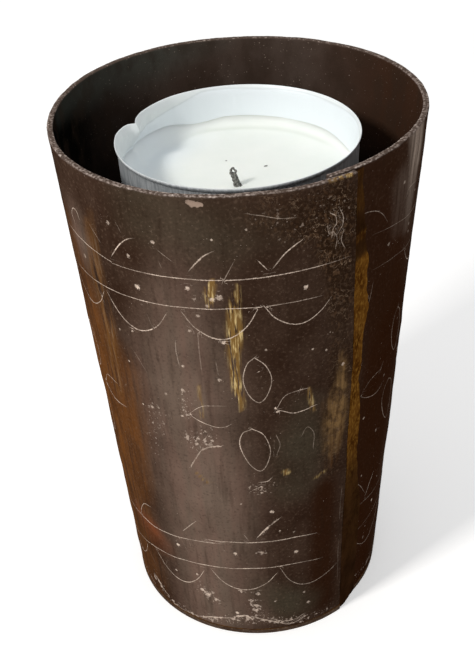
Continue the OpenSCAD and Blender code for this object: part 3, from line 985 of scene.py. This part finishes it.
def wick(material):
    """A burnt plaited wick on a flared foot, its loop at the tip, and two fallen flakes."""
    foot = WAX_TOP - 0.5
    stand = 2.8
    lean = -0.72
    parts = []
    for strand in range(3):
        path = []
        radii = []
        for i in range(40):
            share = i / 39
            twist = 2 * math.pi * (strand / 3 + 1.4 * share)
            flare = max(0, 1 - share * 2.2) ** 2
            spread = 0.24 + 0.45 * flare
            path.append((WICK_PLACE.x + lean * share ** 1.3 + spread * math.cos(twist),
                         WICK_PLACE.y + spread * math.sin(twist), foot + stand * share))
            radii.append((0.34 + 0.16 * flare) * (1.08 - 0.32 * share)
                         * (1 + 0.07 * math.sin(i * 2.1 + strand)))
        parts.append(tube(path, radii))
    ring = []
    for i in range(24):
        a = math.radians(-80 + 340 * i / 23)
        reach = 0.40 + 0.07 * math.cos(3 * a + 1)
        ring.append((WICK_PLACE.x + lean + reach * math.cos(a), WICK_PLACE.y,
                     foot + stand + 0.34 + reach * 1.15 * math.sin(a)))
    parts.append(tube(ring, [0.17 + 0.05 * math.sin(i * 1.3) for i in range(24)], 8))
    for x, y, reach in [(4.1, 2.2, 0.3), (-2.1, 4.6, 0.2)]:
        flake = [(x + reach * s, y + 0.3 * reach * s, WAX_TOP + 0.06) for s in (-1, -0.3, 0.4, 1)]
        parts.append(tube(flake, [0.05, 0.13, 0.12, 0.05], 8))
    points, faces = joined(parts)
    return add_piece("wick_plait", leaning(points), faces, material, "tealight",
                     ["wick"])


# Materials


class Shader:
    """A material while it is built, with one short call for each kind of node."""

    def __init__(self, name):
        self.material = bpy.data.materials.new(name)
        self.material.use_nodes = True
        self.tree = self.material.node_tree
        self.surface = self.tree.nodes["Principled BSDF"]
        self.place = self.node("ShaderNodeTexCoord").outputs["Object"]

    def node(self, kind, **settings):
        made = self.tree.nodes.new(kind)
        for name, value in settings.items():
            setattr(made, name, value)
        return made

    def put(self, socket, value):
        if isinstance(value, bpy.types.NodeSocket):
            self.tree.links.new(value, socket)
        else:
            socket.default_value = value

    def set(self, **values):
        for name, value in values.items():
            self.put(self.surface.inputs[name.replace("_", " ")], value)

    def noise(self, size, stretch=(1, 1, 1), detail=3.0, seed=0.0):
        """Noise with features about size millimetres wide, drawn out by stretch."""
        mapping = self.node("ShaderNodeMapping")
        self.put(mapping.inputs["Vector"], self.place)
        mapping.inputs["Scale"].default_value = [1 / (MM * size * s) for s in stretch]
        mapping.inputs["Location"].default_value = (seed, seed * 0.7, seed * 1.3)
        texture = self.node("ShaderNodeTexNoise")
        texture.inputs["Scale"].default_value = 1.0
        texture.inputs["Detail"].default_value = detail
        self.put(texture.inputs["Vector"], mapping.outputs["Vector"])
        return texture.outputs["Fac"]

    def span(self, value, low, high, bottom=0.0, top=1.0):
        """Maps low to high onto bottom to top, and stops there."""
        made = self.node("ShaderNodeMapRange")
        self.put(made.inputs["Value"], value)
        for name, number in [("From Min", low), ("From Max", high), ("To Min", bottom),
                             ("To Max", top)]:
            made.inputs[name].default_value = number
        return made.outputs["Result"]

    def math(self, operation, first, second=0.0):
        made = self.node("ShaderNodeMath", operation=operation)
        self.put(made.inputs[0], first)
        self.put(made.inputs[1], second)
        return made.outputs[0]

    def times(self, *values):
        total = values[0]
        for value in values[1:]:
            total = self.math("MULTIPLY", total, value)
        return total

    def mix(self, factor, first, second):
        made = self.node("ShaderNodeMix", data_type="RGBA")
        self.put(made.inputs["Factor"], factor)
        self.put(made.inputs[6], first if isinstance(first, bpy.types.NodeSocket) else (*first, 1))
        self.put(made.inputs[7], second if isinstance(second, bpy.types.NodeSocket)
                 else (*second, 1))
        return made.outputs[2]

    def mark(self, name):
        return self.node("ShaderNodeAttribute", attribute_name=name).outputs["Fac"]

    def bump(self, height, depth):
        """Fine relief, depth in millimetres."""
        made = self.node("ShaderNodeBump")
        made.inputs["Distance"].default_value = depth * MM
        self.put(made.inputs["Height"], height)
        self.put(self.surface.inputs["Normal"], made.outputs["Normal"])


DARK_BROWN = (0.030, 0.0150, 0.0092)
MID_BROWN = (0.050, 0.029, 0.0195)
RED_BROWN = (0.0260, 0.0085, 0.0030)
RED_BAND = (0.150, 0.0480, 0.0200)
WARM_BROWN = (0.140, 0.0520, 0.0130)
AMBER = (0.125, 0.054, 0.015)
AMBER_HAIR = (0.21, 0.125, 0.066)
# colours of the painted reflection
REFLECTION_GREY = (0.150, 0.1060, 0.0805)
REFLECTION_PINK = (0.168, 0.1090, 0.0835)
CRUST = (0.024, 0.0120, 0.0062)
CRUST_FLECK = (0.086, 0.046, 0.024)
OLIVE = (0.21, 0.122, 0.050)
DULL_GREY = (0.054, 0.043, 0.028)
# colour of the painted highlight
HIGHLIGHT_COLOUR = (0.33, 0.258, 0.210)
BRASS_FLECK = (0.62, 0.46, 0.21)
OLD_BRASS = (0.20, 0.112, 0.033)
DUST = (0.42, 0.33, 0.27)
PALE_SCRATCH = (0.82, 0.66, 0.54)
RIM_DARK = (0.085, 0.061, 0.049)
RIM_PALE = (0.31, 0.25, 0.22)
RIM_CHIP = (0.55, 0.47, 0.42)
CHIP_BARE = (0.31, 0.225, 0.175)
INNER_BROWN = (0.064, 0.0450, 0.0360)
INNER_RED = (0.042, 0.0200, 0.0115)
INNER_OLIVE_LIT = (0.060, 0.061, 0.051)
# near black of the painted shade inside
SHADE_BLACK = (0.0028, 0.0027, 0.0021)
MUSTARD = (0.130, 0.052, 0.0078)
MUSTARD_PALE = (0.195, 0.094, 0.0170)
MUSTARD_DARK = (0.070, 0.023, 0.0028)
LOW_GLOSS = 0.0


def scratched(s, colour):
    """Pale, beaded scratches from the signed distance to the nearest one."""
    away = s.math("ABSOLUTE", s.mark("away"))
    rough = s.noise(0.22, detail=2, seed=13)
    line = s.span(rough, 0.3, 0.7, 0.3, 0.95)
    dot = s.times(s.span(rough, 0.3, 0.7, 0.15, 0.3), s.span(s.mark("wide"), 0.16, 0.24))
    reach = s.times(s.mark("wide"), s.math("ADD", line, dot))
    core = s.span(s.math("DIVIDE", away, reach), 1.05, 0.6)
    beads = s.span(s.noise(0.5, detail=2, seed=14), 0.36, 0.56, 0.45, 1.0)
    fading = s.span(s.noise(5, detail=2, seed=17), 0.36, 0.56, 0.62, 1.0)
    cut = s.math("MINIMUM", s.times(core, s.mark("pale"), beads, fading), 1.0)
    return cut, s.mix(cut, colour, PALE_SCRATCH)


def patina(name):
    """Dark brown patina on hammered iron, with its streaks, stains, scratches and bare rim, and
    with a painted reflection, a painted highlight and painted shade inside.
    """
    s = Shader(name)
    mottle = s.noise(7, detail=5)
    streak = s.noise(1.0, (1, 1, 14), detail=4, seed=3)
    hair = s.noise(0.4, (1, 1, 16), detail=3, seed=4)
    fine = s.noise(0.45, detail=4, seed=5)
    dust = s.noise(0.3, detail=2, seed=8)
    colour = s.mix(s.span(mottle, 0.35, 0.68), DARK_BROWN, MID_BROWN)
    colour = s.mix(s.times(s.mark("ruddy"), s.span(mottle, 0.3, 0.6, 0.75, 1)), colour,
                   RED_BROWN)
    colour = s.mix(s.times(s.mark("warm"), s.span(streak, 0.35, 0.6, 0.45, 1.0),
                           s.span(mottle, 0.32, 0.52, 0.6, 1.0)), colour,
                   WARM_BROWN)
    colour = s.mix(s.times(s.mark("red"), s.span(mottle, 0.35, 0.55, 0.4, 1.0)), colour, RED_BAND)
    amber = s.times(s.mark("amber"), s.span(streak, 0.4, 0.58))
    colour = s.mix(amber, colour, s.mix(s.span(hair, 0.5, 0.68), AMBER, AMBER_HAIR))
    # painted reflection: the pale grey-brown band, with darker streaks in it
    painted_reflection = s.mix(s.span(s.noise(2.6, (1, 1, 7), detail=3, seed=18), 0.4, 0.6), REFLECTION_PINK,
                 REFLECTION_GREY)
    painted_reflection = s.mix(s.span(s.noise(1.7, (1, 1, 12), detail=4, seed=21), 0.5, 0.68, 0, 0.28), painted_reflection,
                 (0.085, 0.056, 0.042))
    colour = s.mix(s.times(s.mark("painted_reflection"), s.span(mottle, 0.25, 0.6, 0.7, 1.0)), colour, painted_reflection)
    colour = s.mix(s.times(s.mark("dull"), s.span(mottle, 0.3, 0.55, 0.5, 0.9)), colour,
                   DULL_GREY)
    # painted highlight on the right, streaked
    colour = s.mix(s.times(s.mark("painted_highlight"), s.span(streak, 0.35, 0.6, 0.5, 1)), colour, HIGHLIGHT_COLOUR)
    colour = s.mix(s.span(streak, 0.46, 0.3, 0, 0.35), colour, (0.020, 0.0105, 0.006))
    flecks = s.span(s.noise(0.5, (1, 1, 1.4), detail=4, seed=6), 0.50, 0.64)
    cluster = s.span(s.noise(2.4, detail=3, seed=19), 0.38, 0.6, 0.25, 1)
    crust = s.mix(s.times(flecks, cluster), CRUST, CRUST_FLECK)
    fold = s.math("ABSOLUTE", s.math("SUBTRACT", s.noise(1.1, detail=3, seed=15), 0.5))
    veins = s.times(s.span(fold, 0.018, 0.004), s.span(s.noise(3, seed=16), 0.48, 0.6, 0.15, 0.9))
    crust = s.mix(veins, crust, (0.25, 0.17, 0.11))
    colour = s.mix(s.mark("rough"), colour, crust)
    colour = s.mix(s.times(s.mark("olive"), s.span(hair, 0.36, 0.6, 0.4, 1),
                           s.span(s.noise(1.1, (1, 1, 1.8), detail=4, seed=24), 0.4, 0.55,
                                  0.25, 1)), colour, OLIVE)
    colour = s.mix(s.times(s.span(fine, 0.56, 0.72, 0, 0.3),
                           s.span(s.mark("ruddy"), 0, 1, 1, 0.25)), colour, (0.15, 0.10, 0.07))
    colour = s.mix(s.span(fine, 0.46, 0.30, 0, 0.3), colour, (0.012, 0.006, 0.004))
    inner = s.mix(s.mark("red_inside"), INNER_BROWN, INNER_RED)
    colour = s.mix(s.mark("inside"), colour, s.mix(s.span(mottle, 0.6, 0.35, 0, 0.4), inner,
                                                   DARK_BROWN))
    # painted shade inside
    colour = s.mix(s.mark("painted_shade"), colour, SHADE_BLACK)
    # olive-grey band under the back-left rim, partly painted light over the painted shade
    colour = s.mix(s.times(s.mark("inner_olive_lit"), 0.8), colour, INNER_OLIVE_LIT)
    patches = s.span(s.noise(3.2, (1, 1, 1.6), detail=5, seed=20), 0.44, 0.62, 0, 0.45)
    colour = s.mix(s.times(s.mark("inside"), patches), colour, (0.030, 0.019, 0.013))
    loose = s.math("ADD", dust, s.times(s.mark("worn"), 0.13))
    loose = s.math("ADD", loose, s.times(s.mark("inside"), 0.03))
    loose = s.math("ADD", loose, s.span(mottle, 0.3, 0.7, -0.02, 0.02))
    # fewer pale specks where the shade is painted
    specks = s.times(s.span(loose, 0.735, 0.79), s.span(s.mark("painted_shade"), 0, 1, 0.7, 0.1))
    flakes = s.math("ADD", s.noise(0.8, detail=4, seed=23), s.times(s.mark("worn"), 0.14))
    specks = s.math("MAXIMUM", specks, s.times(s.span(flakes, 0.70, 0.74), s.mark("worn")))
    colour = s.mix(specks, colour, DUST)
    wear = s.math("ADD", s.noise(0.4, detail=4, seed=11), s.times(s.mark("rim"), 0.3))
    worn_edge = s.mix(s.span(wear, 0.58, 0.78), RIM_DARK, RIM_PALE)
    worn_edge = s.mix(s.span(wear, 0.78, 0.88), worn_edge, RIM_CHIP)
    colour = s.mix(s.mark("top"), colour, worn_edge)
    flaked = s.math("ADD", s.mark("chip"), s.noise(0.5, detail=3, seed=22))
    colour = s.mix(s.span(flaked, 0.85, 1.1), colour, CHIP_BARE)
    gold = s.span(s.noise(0.28, (1, 1, 12), seed=9), 0.50, 0.64)
    gap = s.span(s.noise(0.34, (1, 1, 14), detail=2, seed=10), 0.39, 0.47)
    colour = s.mix(s.times(s.mark("brass"), gap), colour, s.mix(gold, OLD_BRASS, BRASS_FLECK))
    cut, colour = scratched(s, colour)
    s.set(Base_Color=colour, Metallic=0.0, Roughness=s.span(mottle, 0.3, 0.7, 0.42, 0.56))
    s.surface.inputs["Specular IOR Level"].default_value = LOW_GLOSS
    relief = s.math("ADD", s.times(fine, 0.7), s.times(streak, 0.5))
    s.bump(s.math("SUBTRACT", relief, s.times(cut, 0.8)), 0.05)
    return s.material


def dark_iron(name, first, second, worn, worn_share):
    """Dull iron in two browns, with worn flecks."""
    s = Shader(name)
    mottle = s.noise(5, detail=5)
    fine = s.noise(0.5, detail=3, seed=2)
    colour = s.mix(s.span(mottle, 0.35, 0.65), first, second)
    colour = s.mix(s.span(fine, 0.52, 0.7, 0, worn_share), colour, worn)
    s.set(Base_Color=colour, Roughness=s.span(mottle, 0.3, 0.7, 0.45, 0.6))
    s.surface.inputs["Specular IOR Level"].default_value = LOW_GLOSS
    s.bump(fine, 0.05)
    return s.material


def brass(name, plain):
    """Old brass braze: mustard where it is bare, and else the brown of the patina."""
    s = Shader(name)
    patch = s.noise(2.4, (1, 1, 1.8), detail=5, seed=1)
    fine = s.noise(0.5, (1, 1, 1.5), detail=3, seed=4)
    stained = s.mix(s.span(patch, 0.35, 0.65), (0.018, 0.0075, 0.0030), (0.032, 0.0135, 0.0055))
    colour = s.mix(s.span(patch, 0.38, 0.54), MUSTARD_DARK, MUSTARD)
    colour = s.mix(s.span(fine, 0.50, 0.68), colour, MUSTARD_PALE)
    bare = s.math("ADD", s.mark("bare"), plain)
    colour = s.mix(s.times(bare, s.span(fine, 0.3, 0.5, 0.6, 1)), stained, colour)
    s.set(Base_Color=colour, Metallic=0.0, Roughness=s.span(fine, 0.3, 0.7, 0.4, 0.55))
    s.surface.inputs["Specular IOR Level"].default_value = LOW_GLOSS
    s.bump(s.math("ADD", patch, s.times(fine, 0.5)), 0.12)
    return s.material


def foil():
    """Thin drawn aluminium: pleated and dull outside, filmed with wax inside."""
    s = Shader("foil")
    crinkle = s.noise(0.45, (1, 1, 9), detail=4)
    film = s.mark("film")
    inner = s.mark("inner")
    colour = s.mix(s.span(crinkle, 0.35, 0.65), (0.56, 0.61, 0.65), (0.86, 0.90, 0.93))
    colour = s.mix(inner, colour, (0.78, 0.82, 0.83))
    colour = s.mix(film, colour, (0.80, 0.85, 0.885))
    edge = s.math("SUBTRACT", 1.0, s.math("ABSOLUTE", s.span(film, 0, 1, -1, 1)))
    colour = s.mix(s.times(edge, inner, 0.3), colour, (0.42, 0.46, 0.47))
    s.set(Base_Color=colour, Metallic=s.span(inner, 0, 1, 0.6, 0.1),
          Roughness=s.span(crinkle, 0.3, 0.7, 0.32, 0.45))
    s.surface.inputs["Specular IOR Level"].default_value = 0.2
    s.bump(s.times(crinkle, s.span(inner, 0, 1, 1, 0.25)), 0.06)
    return s.material


def candle_wax():
    """White wax, lit from inside, with faint clouds, painted shade lines at its rim and a painted
    blue shade on its left.
    """
    s = Shader("candle_wax")
    cloud = s.noise(6, detail=3)
    colour = s.mix(s.span(cloud, 0.3, 0.7), (0.82, 0.86, 0.82), (0.86, 0.89, 0.85))
    # painted blue-grey shade on the left of the wax
    colour = s.mix(s.mark("blue_shade"), colour, (0.79, 0.85, 0.88))
    # painted shade lines along the wax's low rim
    colour = s.mix(s.times(s.mark("ledge_shade"), 0.5), colour, (0.62, 0.66, 0.60))
    s.set(Base_Color=colour, Roughness=s.span(cloud, 0.3, 0.7, 0.35, 0.48))
    s.surface.inputs["Specular IOR Level"].default_value = 0.2
    s.surface.inputs["Subsurface Weight"].default_value = 0.4
    s.surface.inputs["Subsurface Radius"].default_value = (1.0, 0.98, 0.92)
    s.surface.inputs["Subsurface Scale"].default_value = 0.0015
    s.bump(s.noise(2.5, detail=2, seed=9), 0.05)
    return s.material


def burnt_cotton():
    """Charred wick, grey where ash clings to it."""
    s = Shader("burnt_cotton")
    fibre = s.noise(0.2, (1, 1, 2.5), detail=3)
    colour = s.mix(s.span(fibre, 0.38, 0.66), (0.05, 0.048, 0.042), (0.26, 0.255, 0.235))
    s.set(Base_Color=colour, Roughness=0.85)
    s.bump(fibre, 0.06)
    return s.material


def tin():
    """Tinned sheet steel."""
    s = Shader("tin")
    brushed = s.noise(0.4, (6, 1, 1), detail=3)
    colour = s.mix(s.span(brushed, 0.3, 0.7), (0.5, 0.5, 0.48), (0.66, 0.66, 0.64))
    s.set(Base_Color=colour, Metallic=1.0, Roughness=s.span(brushed, 0.3, 0.7, 0.3, 0.45))
    s.bump(brushed, 0.02)
    return s.material


def dress_node(node, material):
    """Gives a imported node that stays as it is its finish."""
    piece = frame["nodes"][node]
    piece.data.materials.clear()
    piece.data.materials.append(material)


# The stage

CAMERA_RISE = 0.6281
CAMERA_ROLL = -0.05538
CAMERA_AWAY = 197.796
CAMERA_AIM = Vector((-1.8167, 0, 50.9379))
FOCAL_PIXELS = 1150
IMAGE_HEIGHT = 665
SENSOR = 36.0


def camera():
    """The photograph's viewpoint: close, from above, and turned a little on its axis."""
    ahead = Vector((0, math.cos(CAMERA_RISE), -math.sin(CAMERA_RISE)))
    level = Vector((1, 0, 0))
    above = level.cross(ahead)
    right = level * math.cos(CAMERA_ROLL) + above * math.sin(CAMERA_ROLL)
    up = above * math.cos(CAMERA_ROLL) - level * math.sin(CAMERA_ROLL)
    place = (CAMERA_AIM - ahead * CAMERA_AWAY) * MM
    made = bpy.data.objects.new("camera", bpy.data.cameras.new("camera"))
    made.data.sensor_width = SENSOR
    made.data.lens = FOCAL_PIXELS * SENSOR / IMAGE_HEIGHT
    made.data.clip_start = 0.005
    turn = Matrix((right, up, -ahead)).transposed().to_4x4()
    made.matrix_world = Matrix.Translation(place) @ turn
    bpy.context.scene.collection.objects.link(made)
    bpy.context.scene.camera = made


def seen_directly(tree):
    """1 for rays from the camera, from a gloss or through glass, and 0 for the rest."""
    path = tree.nodes.new("ShaderNodeLightPath")
    total = path.outputs["Is Camera Ray"]
    for name in ["Is Glossy Ray", "Is Transmission Ray"]:
        add = tree.nodes.new("ShaderNodeMath")
        add.operation = "MAXIMUM"
        tree.links.new(total, add.inputs[0])
        tree.links.new(path.outputs[name], add.inputs[1])
        total = add.outputs[0]
    return total


def floor():
    """A white floor that shows white behind the object and keeps its soft shadow."""
    half = 1.5
    mesh = bpy.data.meshes.new("floor")
    mesh.from_pydata([(-half, -half, 0), (half, -half, 0), (half, half, 0), (-half, half, 0)],
                     [], [(0, 1, 2, 3)])
    material = bpy.data.materials.new("floor_white")
    material.use_nodes = True
    tree = material.node_tree
    surface = tree.nodes["Principled BSDF"]
    surface.inputs["Base Color"].default_value = (0.86, 0.86, 0.86, 1)
    surface.inputs["Roughness"].default_value = 1.0
    surface.inputs["Specular IOR Level"].default_value = 0.0
    surface.inputs["Emission Color"].default_value = (1, 1, 1, 1)
    place = tree.nodes.new("ShaderNodeTexCoord")
    away = tree.nodes.new("ShaderNodeVectorMath")
    away.operation = "LENGTH"
    tree.links.new(place.outputs["Object"], away.inputs[0])
    spread = tree.nodes.new("ShaderNodeMapRange")
    for name, value in [("From Min", 0.25), ("From Max", 0.8), ("To Min", 0.35),
                        ("To Max", 0.62)]:
        spread.inputs[name].default_value = value
    tree.links.new(away.outputs["Value"], spread.inputs["Value"])
    glow = tree.nodes.new("ShaderNodeMath")
    glow.operation = "MULTIPLY"
    tree.links.new(seen_directly(tree), glow.inputs[0])
    tree.links.new(spread.outputs["Result"], glow.inputs[1])
    tree.links.new(glow.outputs[0], surface.inputs["Emission Strength"])
    mesh.materials.append(material)
    made = bpy.data.objects.new("floor", mesh)
    bpy.context.scene.collection.objects.link(made)


AMBIENT = 0.6


def world():
    """Even light from all round, and plain white where it is seen."""
    made = bpy.data.worlds.new("studio")
    bpy.context.scene.world = made
    made.use_nodes = True
    tree = made.node_tree
    background = tree.nodes["Background"]
    background.inputs["Color"].default_value = (1, 1, 1, 1)
    strength = tree.nodes.new("ShaderNodeMapRange")
    strength.inputs["To Min"].default_value = AMBIENT
    strength.inputs["To Max"].default_value = 1.0
    tree.links.new(seen_directly(tree), strength.inputs["Value"])
    tree.links.new(strength.outputs["Result"], background.inputs["Strength"])


def lamp(name, place, aim, size, power, colour=(1, 1, 1)):
    """A square soft lamp; place and aim in millimetres, power in watts."""
    data = bpy.data.lights.new(name, "AREA")
    data.size = size * MM
    data.energy = power
    data.color = colour
    made = bpy.data.objects.new(name, data)
    made.location = Vector(place) * MM
    made.rotation_euler = (Vector(aim) - Vector(place)).to_track_quat("-Z", "Y").to_euler()
    bpy.context.scene.collection.objects.link(made)


def lights():
    """One key, from the front left and above."""
    lamp("key", (-330, -260, 430), (0, 0, 60), 80, 1.95, (1, 0.97, 0.93))


def main():
    camera()
    world()
    floor()
    lights()
    bpy.context.scene.view_settings.view_transform = "Standard"
    strokes = ornament()
    cup_wall(strokes, patina("patina"))
    seam_braze(brass("seam_brass", 0.0))
    shelf(dark_iron("shelf_iron", (0.018, 0.011, 0.008), (0.05, 0.028, 0.018),
                    (0.12, 0.09, 0.07), 0.4))
    dress_node("base_disc", dark_iron("base_iron", MID_BROWN, (0.085, 0.056, 0.038),
                                      (0.20, 0.14, 0.10), 0.5))
    dress_node("base_braze", brass("base_brass", 0.5))
    tealight_foil(foil())
    wax_cake(candle_wax())
    wick(burnt_cotton())
    dress_node("wick_sustainer", tin())


main()
